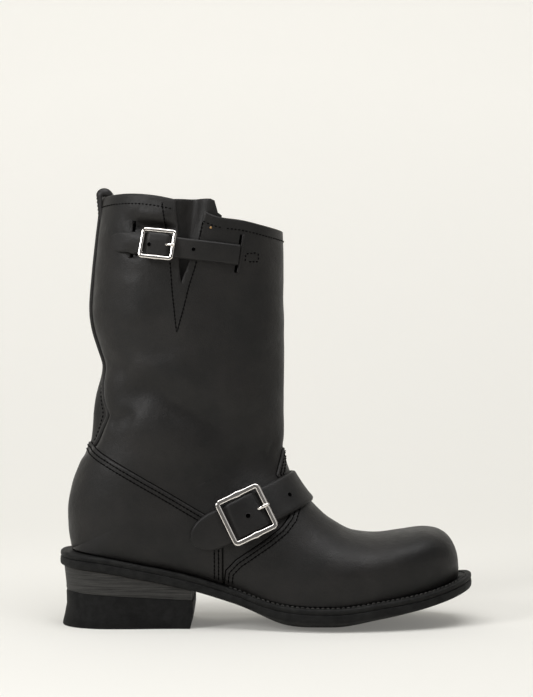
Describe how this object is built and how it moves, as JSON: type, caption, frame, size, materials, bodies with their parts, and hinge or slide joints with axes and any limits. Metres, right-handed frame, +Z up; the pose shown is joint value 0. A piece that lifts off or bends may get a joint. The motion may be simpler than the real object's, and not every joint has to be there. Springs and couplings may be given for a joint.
{
  "type": "engineer boot",
  "caption": "Pull-on leather engineer boot with tall shaft, buckled instep and collar straps, welted sole and stacked block heel.",
  "frame": {"origin": "middle of the heel's tread, on the floor", "axes": "+Z up, +X towards the toe, -Y the outer side of this right boot"},
  "size_m": [0.3, 0.1085, 0.3178],
  "materials": {
    "upper_leather": "matte oiled black",
    "strap_leather": "matte oiled black, smoother than the upper",
    "lining_leather": "unfinished dark",
    "welt_leather": "waxed edge",
    "heel_leather": "stained stacked edge",
    "sole_rubber": "matte",
    "nickel": "polished"
  },
  "bodies": {
    "root": {"outsole": "sole_rubber", "welt": "welt_leather", "heel_stack": "heel_leather", "heel_lift": "sole_rubber", "insole": "lining_leather", "upper": "upper_leather", "gusset": "upper_leather", "quarter": "upper_leather", "vamp": "upper_leather", "back_piping": "strap_leather", "pull_loop": "strap_leather", "ankle_strap": "strap_leather", "collar_strap": "strap_leather", "ankle_buckle": "nickel", "ankle_buckle_prong": "nickel", "collar_buckle": "nickel", "collar_buckle_prong": "nickel"}
  },
  "joints": []
}
